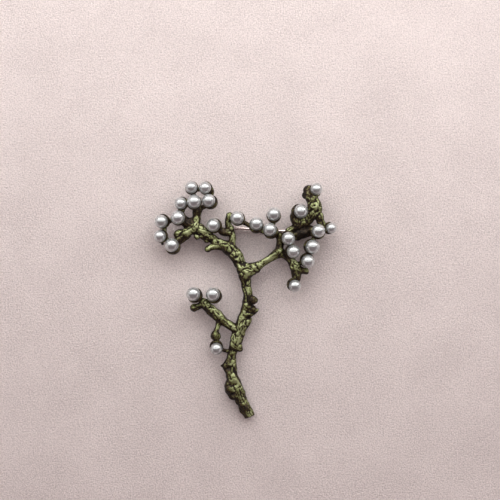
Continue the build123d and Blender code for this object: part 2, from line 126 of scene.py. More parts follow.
def awayFrom(x, y, points):
    # How far each point is from (x, y), seen from the front
    return np.hypot(points[:, 0] - x, points[:, 1] - y)


def sharpWave(angle):
    # 2 |sin angle| ^ 0.8 - 1: round crests with a sharp valley every half turn
    return 2 * np.abs(np.sin(angle)) ** 0.8 - 1


def skin(rows, first=None, last=None):
    # A grid of points closed around each row, with a pole at either end where one is given
    count, around = rows.shape[:2]
    points = rows.reshape(-1, 3)
    at = np.arange(count * around).reshape(count, around)
    turned = np.roll(at, -1, axis=1)
    faces = [np.stack([at[:-1], turned[:-1], turned[1:], at[1:]], axis=-1).reshape(-1, 4)]
    for pole, one, other in ((first, turned[0], at[0]), (last, at[-1], turned[-1])):
        if pole is not None:
            faces.append(spreadOut(len(points), one, other))
            points = np.vstack([points, pole])
    return points, faces


def joined(skins):
    # Several skins as one, with each one's faces counted on from those before
    points = []
    faces = []
    start = 0
    for place, sets in skins:
        points.append(place)
        faces.extend(each + start for each in sets)
        start += len(place)
    return np.vstack(points), faces


def meshObject(name, points, faces, scale=metre):
    mesh = bpy.data.meshes.new(name)
    mesh.from_pydata((points * scale).tolist(), [], [row for each in faces for row in each.tolist()])
    mesh.polygons.foreach_set("use_smooth", np.ones(len(mesh.polygons), bool))
    mesh.update()
    made = bpy.data.objects.new(name, mesh)
    scene.collection.objects.link(made)
    return made


def movePoints(mesh, points):
    mesh.vertices.foreach_set("co", points.ravel())
    mesh.update()


def keepValue(made, name, values):
    # One number for each vertex, which a material reads by its name
    kept = made.data.attributes.new(name, "FLOAT", "POINT")
    kept.data.foreach_set("value", np.asarray(values, np.float32))


def runAlong(stations, step, fewest=6, thinnest=0.05):
    # A smooth curve through (x, y, z, radius) stations, read off at even steps along the run:
    # between b and c it is b + t/2 ((c - a) + t ((2a - 5b + 4c - d) + t (3b - a - 3c + d)))
    known = np.array(stations, float)
    wide = np.vstack([2 * known[0] - known[1], known, 2 * known[-1] - known[-2]])
    chords = np.linalg.norm(np.diff(known[:, :3], axis=0), axis=1)
    lengths = np.concatenate([[0], np.cumsum(chords)])
    place = np.linspace(0, lengths[-1], max(fewest, int(lengths[-1] / step)))
    piece = np.clip(np.searchsorted(lengths, place, "right") - 1, 0, len(known) - 2)
    t = ((place - lengths[piece]) / chords[piece])[:, None]
    a, b, c, d = (wide[piece + offset] for offset in range(4))
    line = b + 0.5 * t * ((c - a) + t * ((2 * a - 5 * b + 4 * c - d) + t * (3 * b - a - 3 * c + d)))
    return line[:, :3], np.maximum(line[:, 3], thinnest), place


def crossings(middle):
    # Along, left and up at each point of a path: left = Z x along, and up = along x left
    along = unit(np.gradient(middle, axis=0))
    left = np.cross([0.0, 0.0, 1.0], along)
    weak = np.linalg.norm(left, axis=1) < 0.05
    left[weak] = np.cross([0.0, 1.0, 0.0], along[weak])
    left = unit(left)
    return along, left, np.cross(along, left)


# Bark as it is laid on each limb, before the skins are made one
bark = {
    "step": 0.14, "around": 72, "capRings": 5,
    "ends": (1.0, 1.0),  # how far each end bulges, as a share of its radius
    "ridges": [(1.9, 0.06, 0), (1.0, 0.05, 20)],  # pitch, depth, seed
    "twist": 0.30,
    "wander": 3.6,  # radians, where four ridges go round
    "wanderNoise": [(1.0, 3.1, 0), (0.45, 1.5, 3)],
    "breakSize": 1.9, "breakFade": (-0.45, 0.35), "breakSeed": 11,
    "swell": 0.02,
    "lumpNoise": [(0.16, 2.2, 7), (0.09, 1.1, 9)],
    "fullRadius": 1.3,  # a limb this thick has relief in proportion, and others less or more
    "reliefShare": (0.5, 1.1),
}


def withCaps(values):
    # The first and the last row repeated, once for each ring of a rounded end
    return np.concatenate([values[:1].repeat(bark["capRings"], axis=0), values,
                           values[-1:].repeat(bark["capRings"], axis=0)])


def barkedLimb(stations, seed, ends=bark["ends"]):
    # P(s, a) = middle(s) + (radius(s) + relief(s, a)) * (cos a left + sin a up), rounded at both ends
    middle, radius, place = runAlong(stations, bark["step"])
    along, left, up = crossings(middle)
    turn = np.linspace(0, math.pi / 2, bark["capRings"] + 2)[1:-1]
    back, on = -along[0] * radius[0] * ends[0], along[-1] * radius[-1] * ends[1]
    poles = (middle[0] + back, middle[-1] + on)
    drawn = np.cos(turn)[:, None]
    middle = np.vstack([middle[0] + back * drawn, middle, middle[-1] + on * drawn[::-1]])
    spread = np.concatenate([np.sin(turn), np.ones(len(radius)), np.sin(turn[::-1])])
    full, left, up, place = (withCaps(each) for each in (radius, left, up, place))
    around = fullTurn(bark["around"])
    out = np.cos(around)[:, None] * left[:, None] + np.sin(around)[:, None] * up[:, None]
    flat = middle[:, None] + out * full[:, None, None]
    # The ridges wander: their phase is the angle, a slow twist and noise, and |sin| gives sharp valleys
    girth = 2 * math.pi * full.mean()
    wander = layeredNoise(flat, bark["wanderNoise"], seed)
    relief = layeredNoise(flat, bark["lumpNoise"], seed, bark["swell"])
    for pitch, depth, shift in bark["ridges"]:
        ridges = max(3, round(girth / pitch))
        strayed = bark["wander"] * ridges / 4 * wander
        phase = ridges * around[None] + bark["twist"] * place[:, None] + strayed + shift
        broken = smoothNoise(flat, bark["breakSize"], seed + bark["breakSeed"] + shift)
        relief = relief + depth * sharpWave(phase / 2) * smoothStep(broken, *bark["breakFade"])
    reach = (full * np.clip(full / bark["fullRadius"], *bark["reliefShare"]))[:, None]
    rows = middle[:, None] + out * ((full[:, None] + reach * relief) * spread[:, None])[..., None]
    return skin(rows, *poles)


knotForm = {
    "rings": 24, "around": 36, "firstSeed": 60,
    "rough": 0.14, "roughSize": 0.9, "arcSide": 0.5, "arcUp": 0.7,  # shares of the radius
    "arcPitch": 0.95, "arcDepth": 0.015, "arcNoise": [(0.25, 1.3, 5)],
}


def knot(centre, radius, seed):
    # P(u, v) = centre + radius (1 + rough noise + arcs) (sin u cos v, sin u sin v, cos u)
    centre = np.array(centre)
    u = np.linspace(0, math.pi, knotForm["rings"] + 2)[1:-1, None]
    v = fullTurn(knotForm["around"])[None]
    out = spreadOut(np.sin(u) * np.cos(v), np.sin(u) * np.sin(v), np.cos(u))[::-1]
    flat = centre + out * radius
    # Arcs: sharp valleys a fixed pitch apart round a spot towards one side of the knot
    side = knotForm["arcSide"]
    spot = centre + radius * np.array([side * math.cos(seed), side * math.sin(seed), knotForm["arcUp"]])
    away = layeredNoise(flat, knotForm["arcNoise"], seed, np.linalg.norm(flat - spot, axis=-1))
    arcs = knotForm["arcDepth"] * sharpWave(math.pi * away / knotForm["arcPitch"])
    swell = 1 + knotForm["rough"] * smoothNoise(flat, radius * knotForm["roughSize"], seed) + arcs
    rows = centre + out * swell[..., None] * radius
    return skin(rows, rows[0].mean(axis=0), rows[-1].mean(axis=0))


# The casting: limbs of bark, knots where they fork, stubs, and rods between the cups
casting = {
    "voxel": 0.182,
    "evenRounds": 1, "evenShare": 0.35,
    "limbSeed": 5, "rodSeed": 110, "seedStep": 3,
    "rodRadius": 0.85, "rodWaist": 0.78, "rodSag": 0.1,
    "seatOverlap": 0.03, "boxGap": 0.02, "floorGap": 0.03,
}
# Limbs: x, y, z and radius of each station
limbs = {
    "trunk": [
        (0.2, 9.2, 4.0, 1.97), (-0.1, 7.2, 3.9, 1.83), (0.1, 5.4, 3.8, 1.48), (0.5, 3.1, 3.7, 1.30),
        (0.8, 0.8, 3.6, 1.28), (0.6, -1.5, 3.4, 1.39), (0.0, -3.6, 3.3, 1.45), (-0.8, -5.7, 3.2, 1.59),
        (-1.5, -7.9, 3.1, 1.71), (-2.1, -10.2, 3.0, 1.71), (-2.8, -12.6, 2.9, 1.65),
        (-3.7, -14.9, 2.7, 1.28), (-4.0, -17.1, 2.6, 1.28), (-4.1, -19.2, 2.5, 1.42),
        (-3.9, -21.6, 2.4, 1.48), (-3.3, -23.9, 2.3, 1.71), (-2.4, -26.3, 2.1, 1.80),
        (-1.3, -28.8, 2.0, 1.68), (-0.1, -31.3, 1.9, 1.57), (1.0, -33.1, 1.7, 1.51), (1.3, -33.8, 1.7, 1.54),
    ],
    "leftArm": [
        (0.2, 8.3, 4.0, 1.80), (-1.3, 10.5, 4.1, 1.62), (-2.4, 12.7, 4.1, 1.74), (-3.8, 14.5, 4.2, 1.74),
        (-5.7, 15.8, 4.3, 1.48), (-7.7, 16.9, 4.3, 1.30), (-9.8, 18.2, 4.4, 1.42), (-11.8, 19.5, 4.5, 1.57),
        (-13.5, 20.8, 4.6, 1.62), (-15.0, 21.7, 4.6, 1.45),
    ],
    "leftSpur": [
        (-5.9, 15.7, 4.3, 1.25), (-8.2, 15.9, 4.5, 1.15), (-9.8, 15.5, 4.6, 1.08), (-10.8, 15.0, 4.7, 1.00),
    ],
    "riser": [
        (-14.6, 21.5, 4.6, 1.51), (-14.2, 23.1, 4.6, 1.33), (-14.1, 24.9, 4.6, 1.22),
        (-13.9, 26.6, 4.6, 1.39),
    ],
    "reach": [
        (-14.3, 21.1, 4.6, 1.51), (-16.0, 20.2, 4.6, 1.51), (-17.8, 19.6, 4.6, 1.45),
        (-19.3, 19.4, 4.6, 1.16),
    ],
    "reachRoot": [(-16.9, 19.3, 4.4, 1.33), (-18.5, 18.0, 4.5, 1.39), (-19.8, 16.9, 4.6, 1.28)],
    "inner": [(-15.1, 21.7, 4.4, 1.39), (-16.9, 22.5, 4.4, 1.45), (-18.3, 23.7, 4.4, 1.30)],
    "twig": [
        (-3.7, 14.7, 4.1, 1.33), (-3.9, 16.7, 4.2, 1.01), (-3.7, 18.8, 4.3, 0.99), (-4.1, 20.2, 4.4, 0.93),
        (-4.8, 21.7, 4.4, 0.93), (-5.0, 23.4, 4.5, 0.87), (-4.5, 24.9, 4.6, 0.87),
    ],
    "twigSide": [
        (-3.8, 19.9, 4.5, 0.80), (-5.1, 19.8, 4.6, 1.00), (-6.6, 20.1, 4.6, 1.05), (-7.6, 20.9, 4.7, 1.00),
    ],
    "rightArm": [
        (0.4, 8.2, 4.0, 1.86), (2.1, 9.2, 4.1, 1.68), (3.9, 10.2, 4.1, 1.39), (5.6, 11.3, 4.2, 1.16),
        (7.4, 12.4, 4.2, 1.13), (8.8, 13.5, 4.3, 1.28), (9.9, 14.2, 4.3, 1.45),
    ],
    "rightStem": [
        (9.9, 13.8, 4.3, 1.36), (10.0, 15.6, 4.3, 1.10), (10.1, 17.2, 4.4, 1.07), (10.2, 18.8, 4.4, 1.22),
    ],
    "lowLimb": [
        (9.9, 14.0, 4.2, 1.36), (11.7, 13.0, 4.2, 1.07), (13.2, 11.7, 4.2, 1.13), (14.3, 10.2, 4.1, 1.36),
        (14.9, 8.3, 4.1, 1.39), (15.0, 6.6, 4.1, 1.28),
    ],
    "lowSpur": [(15.0, 9.5, 4.1, 1.22), (16.4, 8.8, 4.1, 0.99), (17.4, 8.6, 4.1, 0.99)],
    "crown": [
        (12.7, 20.1, 4.4, 1.10), (14.4, 21.1, 4.5, 1.10), (16.2, 22.2, 4.5, 1.28), (17.8, 23.5, 4.6, 1.62),
        (19.2, 25.3, 4.7, 2.00), (20.2, 27.2, 4.7, 2.09), (19.5, 29.1, 4.8, 1.80), (18.5, 30.7, 4.9, 1.62),
        (17.9, 31.9, 4.9, 1.25),
    ],
    "crownSide": [
        (20.2, 26.6, 4.8, 1.51), (21.3, 24.6, 4.7, 1.39), (21.8, 23.1, 4.6, 1.25), (22.3, 22.0, 4.5, 1.13),
    ],
    "brace": [
        (12.4, 18.2, 3.7, 1.33), (14.7, 19.3, 3.7, 1.68), (16.8, 19.8, 3.7, 1.80), (18.8, 20.2, 3.7, 1.68),
        (20.5, 20.2, 3.7, 1.39),
    ],
    "stalk": [(15.5, 21.7, 4.4, 1.33), (14.9, 23.1, 4.6, 1.51), (14.7, 24.6, 4.7, 1.57)],
    "sideBranch": [
        (-1.9, -8.8, 3.0, 1.57), (-4.1, -7.5, 3.1, 1.33), (-6.0, -6.2, 3.2, 1.30), (-7.6, -4.9, 3.3, 1.45),
        (-9.2, -3.5, 3.5, 1.62), (-10.8, -2.0, 3.6, 1.51), (-12.1, -0.4, 3.7, 1.28),
    ],
    "sideKnob": [(-11.8, -0.8, 3.7, 1.16), (-13.4, -1.5, 3.7, 1.04), (-14.8, -2.1, 3.7, 1.22)],
    "downTwig": [
        (-7.5, -5.6, 3.3, 0.99), (-8.0, -7.6, 3.6, 0.75), (-8.4, -8.9, 3.7, 0.93), (-8.6, -10.2, 3.9, 1.45),
    ],
    "strut": [(-3.8, -14.6, 2.4, 0.75), (-5.7, -14.6, 2.8, 0.55), (-7.5, -13.8, 3.3, 0.60)],
    "wedge": [
        (-4.5, -16.6, 2.6, 0.81), (-5.2, -18.1, 2.6, 0.99), (-5.5, -19.2, 2.6, 0.99),
        (-4.8, -21.3, 2.6, 0.87),
    ],
    "wedgeTip": [(-5.2, -18.9, 2.7, 0.90), (-6.3, -19.0, 2.7, 0.64), (-6.95, -19.0, 2.7, 0.28)],
    "stub": [
        (0.4, -1.4, 3.9, 1.33), (1.7, -2.4, 3.9, 1.39), (2.7, -2.8, 4.0, 1.15), (3.3, -2.8, 4.0, 0.62),
    ],
    "curl": [(-0.1, -4.0, 4.2, 0.70), (1.5, -4.1, 4.2, 0.75), (3.0, -3.3, 4.2, 0.46)],
    "finger": [(1.3, -5.5, 3.7, 0.72), (0.6, -6.8, 3.6, 0.81), (-0.4, -8.4, 3.4, 0.70)],
    "shelf": [(-3.3, -12.8, 3.2, 1.33), (-2.1, -13.5, 3.3, 1.25), (-1.6, -14.0, 3.4, 0.93)],
    "forkBulge": [(-0.3, 8.1, 4.9, 0.75), (0.35, 8.25, 5.0, 0.85), (1.0, 8.25, 4.9, 0.75)],
    "cupSpur": [(-9.5, 32.6, 5.0, 0.30), (-9.4, 31.7, 5.0, 0.42), (-9.6, 30.8, 4.9, 0.40)],
    "footBulge": [(-3.9, -23.2, 2.3, 1.20), (-4.3, -25.3, 2.4, 1.62), (-3.4, -27.5, 2.3, 1.45)],
}
squareEnds = {"trunk": (1.0, 0.12)}
# Knots: x, y, z, radius
knots = [
    (-1.0, 9.4, 4.2, 1.75), (3.4, 9.3, 4.2, 1.20), (2.2, 0.2, 5.2, 1.36), (-14.0, 18.5, 4.9, 0.95),
    (-11.1, 17.7, 4.7, 1.00), (-19.6, 19.3, 4.7, 1.15), (-14.4, 21.3, 4.8, 1.75), (-17.2, 19.6, 4.9, 1.45),
    (-13.9, 26.3, 4.7, 1.25), (-4.1, 20.9, 4.6, 1.00), (-4.6, 24.8, 4.6, 0.90), (-6.7, 20.1, 4.7, 1.05),
    (10.0, 14.0, 4.4, 1.45), (10.2, 18.6, 4.4, 1.20), (14.3, 10.0, 4.3, 1.55), (15.0, 6.5, 4.1, 1.25),
    (17.7, 8.6, 4.1, 0.95), (19.9, 27.4, 5.0, 2.15), (18.5, 31.3, 4.8, 1.55), (22.2, 22.0, 4.5, 1.15),
    (-10.0, -2.9, 3.8, 1.65), (-12.1, -0.5, 3.7, 1.25), (-14.8, -2.1, 3.7, 1.15), (-8.6, -10.3, 3.9, 1.50),
    (-7.6, -13.6, 3.3, 0.62), (-10.9, 15.0, 4.7, 0.88), (-24.0, 16.5, 4.4, 0.45), (-3.3, 13.6, 4.4, 1.75),
    (-2.1, -13.4, 3.3, 1.35), (16.9, 19.8, 4.0, 1.80), (-2.6, -10.9, 3.5, 1.30), (0.7, -5.9, 3.6, 0.80),
    (-8.7, 17.3, 4.7, 1.20), (9.9, 14.0, 4.0, 1.65), (-15.9, 22.9, 4.5, 1.30), (-1.6, -29.0, 2.2, 1.50),
    (18.2, 32.3, 5.0, 1.25), (17.6, 30.6, 4.7, 1.20), (19.0, 30.4, 4.5, 1.45),
]
# Where rods end: under the cups, by the pearl's number, and on the limbs
rodEnds = {
    1: (-15.2, 32.2, 4.3), 2: (-11.0, 32.3, 4.3), 3: (-17.7, 28.1, 4.5), 4: (-14.8, 28.3, 4.5),
    5: (-9.6, 28.1, 4.6), 6: (-23.1, 22.9, 4.5), 7: (-18.8, 23.7, 4.6), 8: (-23.6, 18.7, 4.3),
    9: (-20.6, 15.1, 4.3), 10: (-8.2, 21.9, 4.5), 11: (-2.0, 23.5, 4.5), 12: (3.2, 20.7, 4.9),
    13: (8.2, 23.6, 4.6), 14: (7.9, 19.2, 5.0), 15: (12.1, 18.4, 4.5), 16: (13.2, 14.2, 4.3),
    17: (15.3, 25.0, 4.5), 18: (19.6, 31.3, 4.6), 19: (20.8, 19.6, 4.5), 20: (23.3, 21.0, 4.4),
    21: (18.5, 15.6, 4.4), 22: (17.6, 12.0, 4.3), 23: (13.6, 5.1, 4.2), 24: (-14.1, 1.1, 3.8),
    25: (-8.5, 0.9, 3.8), 26: (-8.5, -12.0, 3.8),
    "side3": (-18.6, 27.9, 4.4), "side7": (-19.2, 24.2, 4.4), "riserTop": (-13.8, 26.6, 4.7),
    "innerRoot": (-15.2, 21.7, 4.6), "reachTip": (-19.2, 19.1, 4.7), "twigSide": (-6.8, 19.8, 4.6),
    "twigTip": (-4.5, 24.7, 4.6), "stemTop": (10.0, 18.7, 4.4), "rightJoint": (9.9, 13.5, 4.2),
    "lowTip": (15.1, 6.1, 4.1), "lowKnot": (14.2, 9.8, 4.1), "crownRoot": (12.9, 19.8, 4.4),
    "crownSide": (22.2, 21.9, 4.4), "crownTip": (18.1, 31.8, 4.9), "stalkRoot": (15.7, 21.4, 4.5),
    "braceRoot": (12.5, 18.0, 3.7), "sideTip": (-12.0, -0.6, 3.7), "downTip": (-8.6, -10.5, 3.9),
}
rods = [
    ("riserTop", 4), ("riserTop", 5), (4, 1), (1, 2), (5, 2), (4, 3), ("side7", "side3"), ("innerRoot", 7),
    (3, 7), (7, 6), (6, 8), (8, 9), ("reachTip", 9), ("twigSide", 10), ("twigTip", 11), (11, 12), (12, 14),
    (13, 14), ("stemTop", 14), ("stemTop", 15), (15, 16), ("rightJoint", 16), ("lowTip", 23), ("lowKnot", 22),
    (22, 21), (21, 19), ("crownSide", 19), ("crownSide", 20), ("stalkRoot", 17), ("crownTip", 18),
    ("crownRoot", 15), ("stalkRoot", "braceRoot"), ("sideTip", 24), ("sideTip", 25), ("downTip", 26),
]
# Pearls, from pearl_01 on: the way each cup faces, as a heading in the plane and a tilt from straight up
leans = [
    (125, 12), (150, 12), (175, 18), (90, 10), (140, 36), (180, 26), (155, 10), (180, 24), (125, 34),
    (160, 22), (130, 15), (90, 34), (90, 22), (118, 36), (-45, 15), (0, 20), (15, 36), (45, 45),
    (60, 20), (0, 36), (0, 22), (-45, 24), (-45, 33), (140, 33), (135, 33), (-87, 34),
]
pearlLeans = {f"pearl_{number:02d}": lean for number, lean in enumerate(leans, 1)}
cups = {
    "wall": 0.22, "gap": 0.08, "rimDrop": 0.78, "round": 0.09,
    "sink": 1.1,  # how far the bowl's middle is behind the pearl's
    "around": 40, "bowlRings": 18, "rimRings": 5, "seatRings": 12,
    "lumpNoise": [(0.06, 1.3, 41)],
    "shade": 0.27, "shadeNoise": [(0.26, 0.9, 97)],
}


def pearlPlace(name):
    # Middle, radius and the unit vector that the cup faces
    low, high = (np.array(corner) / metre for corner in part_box(name))
    heading, tilt = (math.radians(value) for value in pearlLeans[name])
    lean = np.array([math.sin(tilt) * math.cos(heading), math.sin(tilt) * math.sin(heading), math.cos(tilt)])
    return (low + high) / 2, float((high - low).mean()) / 2, lean


def aroundLean(centre, lean, distance, height, around):
    # Rings about the lean: P(k, a) = centre + height_k lean + distance_k (cos a side + sin a other)
    side = unit(np.cross(lean, [0.31, 0.95, 0.05]))
    other = np.cross(lean, side)
    angle = fullTurn(around)
    ring = np.cos(angle)[:, None] * side + np.sin(angle)[:, None] * other
    return centre + height[:, None, None] * lean + distance[:, None, None] * ring


def cupSkin(name):
    # A ball behind the pearl, up to a rim plane, then the seat that the pearl lies in
    centre, radius, lean = pearlPlace(name)
    outer = radius + cups["wall"]
    seat = radius + cups["gap"]
    bend = cups["round"]
    rimPlane = -cups["rimDrop"]
    rimOut = math.sqrt(outer**2 - (rimPlane + cups["sink"]) ** 2)
    rimIn = math.sqrt(seat**2 - rimPlane**2)
    lip = math.asin((rimPlane - bend + cups["sink"]) / outer)
    sweep = np.linspace(-math.pi / 2, lip, cups["bowlRings"])[1:]
    corner = np.linspace(0, math.pi / 2, cups["rimRings"])
    inward = np.linspace(math.asin((rimPlane - bend) / seat), -math.pi / 2, cups["seatRings"])[:-1]
    distance = np.concatenate([
        outer * np.cos(sweep),
        rimOut - bend + bend * np.cos(corner[1:]),
        rimIn + bend * 0.5 * (1 - np.sin(corner)),
        seat * np.cos(inward),
    ])
    height = np.concatenate([
        outer * np.sin(sweep) - cups["sink"],
        rimPlane - bend + bend * np.sin(corner[1:]),
        rimPlane - bend * 0.5 * (1 - np.cos(corner)),
        seat * np.sin(inward),
    ])
    rows = aroundLean(centre, lean, distance, height, cups["around"])
    lumps = layeredNoise(rows, cups["lumpNoise"])
    lumps[cups["bowlRings"]:] = 0.0
    rows = rows + unit(rows - centre) * lumps[..., None]
    return skin(rows, centre - lean * (cups["sink"] + outer), centre - lean * seat)


def neighbourMean(points, edges, rounds, share=0.5):
    # Each round moves a point towards the mean of its neighbours
    at, other = np.vstack([edges, edges[:, ::-1]]).T
    count = np.bincount(at, minlength=len(points))[:, None]
    for _ in range(rounds):
        total = np.stack([np.bincount(at, values[other], len(points)) for values in points.T], axis=1)
        points = points + share * (total / np.maximum(count, 1) - points)
    return points


def meshArrays(mesh):
    points = np.zeros(len(mesh.vertices) * 3)
    mesh.vertices.foreach_get("co", points)
    edges = np.zeros(len(mesh.edges) * 2, np.int64)
    mesh.edges.foreach_get("vertices", edges)
    normals = np.zeros(len(mesh.vertices) * 3)
    mesh.vertex_normals.foreach_get("vector", normals)
    return points.reshape(-1, 3), edges.reshape(-1, 2), normals.reshape(-1, 3)


def remeshed(name, points, faces, voxel):
    # All the overlapping skins as one closed surface of even small faces
    rough = meshObject(name, points, faces, scale=1.0)
    change = rough.modifiers.new("oneSkin", "REMESH")
    change.mode = "VOXEL"
    change.voxel_size = voxel
    change.use_smooth_shade = True
    ready = rough.evaluated_get(bpy.context.evaluated_depsgraph_get())
    mesh = bpy.data.meshes.new_from_object(ready)
    bpy.data.objects.remove(rough, do_unlink=True)
    return mesh


skins = []
for number, (name, stations) in enumerate(limbs.items()):
    seed = casting["limbSeed"] + number * casting["seedStep"]
    skins.append(barkedLimb(stations, seed, squareEnds.get(name, bark["ends"])))
for number, (x, y, z, radius) in enumerate(knots):
    skins.append(knot((x, y, z), radius, knotForm["firstSeed"] + number))
for number, names in enumerate(rods):
    start, end = (np.array(rodEnds[name]) for name in names)
    thick = casting["rodRadius"]
    waist = (start + end) / 2 - np.array([0, 0, casting["rodSag"]])
    stations = [(*start, thick), (*waist, thick * casting["rodWaist"]), (*end, thick)]
    skins.append(barkedLimb(stations, casting["rodSeed"] + number * casting["seedStep"]))
print("casting laid out:", len(skins), "skins")

castMesh = remeshed("branchCasting", *joined(skins), casting["voxel"])
points, edges, normals = meshArrays(castMesh)
movePoints(castMesh, neighbourMean(points, edges, casting["evenRounds"], casting["evenShare"]))
points, edges, normals = meshArrays(castMesh)

# The face of the bark, worked into the one skin
barkFace = {
    "limbStep": 0.6,
    "limbShift": 23.7,  # between one limb's places and the next one's, so that no two look alike
    "plates": [
        {"stretch": 0.6, "size": 1.25, "seed": 81, "depth": 0.26, "steep": 2.4, "dark": 1.0},
        {"stretch": 0.7, "size": 0.75, "seed": 84, "depth": 0.17, "steep": 2.6, "dark": 0.6},
    ],
    "plateLevel": 0.6,  # about the mean of tanh(steep |noise|)
    "creaseWidth": 0.16,
    "calmSize": 3.0, "calmSeed": 86, "calmFade": (-0.6, 0.1), "calmest": 0.5,
    "fullRadius": 1.6, "reliefShare": (0.45, 1.1), "behind": 0.35,
    "grainNoise": [(0.02, 0.4, 91), (0.09, 1.8, 92)],
    "foldFade": 25,  # degrees over which a fold dies out at either end
    "foldWidth": 0.2, "foldWander": 0.15, "foldWanderSize": 0.9, "foldSeed": 71,
}
# Pits: x, y, width, depth
pits = [
    (0.9, -4.8, 0.50, 0.35), (-4.7, -19.6, 0.60, 0.75), (-0.8, -14.9, 0.60, 0.40), (-2.9, 11.2, 0.45, 0.35),
    (-13.0, 19.2, 0.45, 0.40), (18.4, 25.9, 0.45, 0.40), (-9.9, -4.3, 0.40, 0.35), (13.6, 10.0, 0.40, 0.30),
    (-3.1, -9.1, 0.45, 0.35), (-3.6, -27.2, 0.50, 0.35),
]
# Folds: middle x and y, radius, first and last heading, depth
folds = [
    (0.4, 7.5, 1.95, 35, 150, 0.40), (-14.6, 21.0, 1.50, 210, 330, 0.28),
    (19.8, 27.2, 1.45, 60, 200, 0.30), (19.6, 28.4, 1.00, 190, 320, 0.25), (-4.6, -25.8, 1.35, 60, 200, 0.30),
    (-9.8, -2.8, 1.00, 20, 160, 0.25), (14.4, 9.7, 0.95, 10, 170, 0.25), (2.0, 0.3, 0.80, 120, 260, 0.25),
]
# Open faces where the bark is worn smooth: middle x and y, radius, share of the relief that is gone
openFaces = [
    (0.5, 8.0, 1.5, 0.50), (6.4, 11.8, 2.0, 0.35), (10.0, 14.2, 1.6, 0.40), (-2.8, -12.4, 1.5, 0.45),
    (2.2, 0.2, 1.5, 0.80), (14.7, 24.0, 1.6, 0.50), (-8.6, -10.2, 1.5, 0.60),
]


def alongLimbs(points):
    # Each point in its nearest limb's own axes (place along, left, up), and that limb's radius there
    centres = []
    axes = []
    facts = []
    for number, stations in enumerate(limbs.values()):
        middle, radius, place = runAlong(stations, barkFace["limbStep"])
        centres.append(middle)
        axes.append(np.stack(crossings(middle), axis=1))
        facts.append(np.stack([place + barkFace["limbShift"] * number, radius], axis=1))
    centres, axes, facts = (np.concatenate(each) for each in (centres, axes, facts))
    # In twelve parts, so that the table of distances stays small
    square = (centres**2).sum(axis=1)
    parts = np.array_split(points, 12)
    nearest = np.concatenate([(square - 2 * part @ centres.T).argmin(axis=1) for part in parts])
    own = np.einsum("pij,pj->pi", axes[nearest], points - centres[nearest])
    own[:, 0] += facts[nearest, 0]
    return own, facts[nearest, 1]


def drawnOut(own, stretch):
    # Places along the limb drawn together, so that a noise read there runs out along it
    return own * np.array([stretch, 1.0, 1.0])


def takenAway(values, points, spots):
    # values (1 - gone exp(-(distance / radius)^3)) for each spot: x, y, radius, gone
    for x, y, radius, gone in spots:
        values = values * (1 - gone * np.exp(-((awayFrom(x, y, points) / radius) ** 3)))
    return values


# Pits and folds press in from the front
facing = np.clip(normals[:, 2], 0, 1)
press = np.zeros(len(points))
for x, y, width, depth in pits:
    press += depth * np.exp(-((awayFrom(x, y, points) / width) ** 2))
for x, y, radius, first, last, depth in folds:
    heading = np.degrees(np.arctan2(points[:, 1] - y, points[:, 0] - x)) % 360
    inside = smoothStep(heading, first, first + barkFace["foldFade"])
    inside = inside * (1 - smoothStep(heading, last - barkFace["foldFade"], last))
    strayed = barkFace["foldWander"] * smoothNoise(points, barkFace["foldWanderSize"], barkFace["foldSeed"])
    away = awayFrom(x, y, points) - radius - strayed
    press += depth * inside * np.exp(-((away / barkFace["foldWidth"]) ** 2))
press = press * facing ** 0.5

# Flat-topped plates about 1 mm across: depth (tanh(steep |noise|) - level), with creases near 0
own, limbRadius = alongLimbs(points)
relief = 0
creased = 0
for plate in barkFace["plates"]:
    gap = np.abs(crumple(drawnOut(own, plate["stretch"]), plate["size"], plate["seed"]))
    relief = relief + plate["depth"] * (np.tanh(plate["steep"] * gap) - barkFace["plateLevel"])
    creased = creased + plate["dark"] * np.exp(-((gap / barkFace["creaseWidth"]) ** 2))
# The relief is calmer here and there, on open faces, on thin limbs and behind
calm = smoothStep(smoothNoise(points, barkFace["calmSize"], barkFace["calmSeed"]), *barkFace["calmFade"])
calm = barkFace["calmest"] + (1 - barkFace["calmest"]) * calm
calm = takenAway(calm, points, openFaces)
relief = relief * calm * np.clip(limbRadius / barkFace["fullRadius"], *barkFace["reliefShare"])
relief = relief * (barkFace["behind"] + (1 - barkFace["behind"]) * facing)
crust = layeredNoise(points, barkFace["grainNoise"], start=relief)
points = points + normals * (crust - press)[:, None]

# The pearls press their seats into the casting
for name in pearlLeans:
    centre, radius, lean = pearlPlace(name)
    offset = points - centre
    seat = radius + cups["gap"] - casting["seatOverlap"]
    near = np.linalg.norm(offset, axis=1) < seat
    points[near] = centre + unit(offset[near]) * seat
low, high = (np.array(corner) / metre for corner in cadBox)
gaps = np.array([casting["boxGap"], casting["boxGap"], casting["floorGap"]])
points = np.clip(points, low + gaps, high - casting["boxGap"])
movePoints(castMesh, points)
print("bark worked in")

# Lacquer: brightest on ridges and open faces, with dark antiquing in creases and hollows, and painted shade
# on walls that face down or away from the lights
lacquer = {
    "level": 0.73, "fade": (-0.05, 1.05),
    "mottle": 0.41, "mottles": [(1.0, 0.6, 1.1, 93), (0.8, 0.8, 0.5, 94)],  # share, stretch, size, seed
    "crease": 0.86,
    "hollow": 0.06, "hollowRounds": 8,  # mm below its near neighbours that take the lacquer away
    "valley": 0.9, "valleyRounds": 60,  # and the same in a wider circle
    "paintedShadeRounds": 6, "paintedShadeLean": (0.22, 0.26, 1.0), "paintedShadeFade": (0.42, 0.95), "paintedShadeLeast": 0.12,
    "cloudNoise": [(0.12, 3.0, 95)],
}
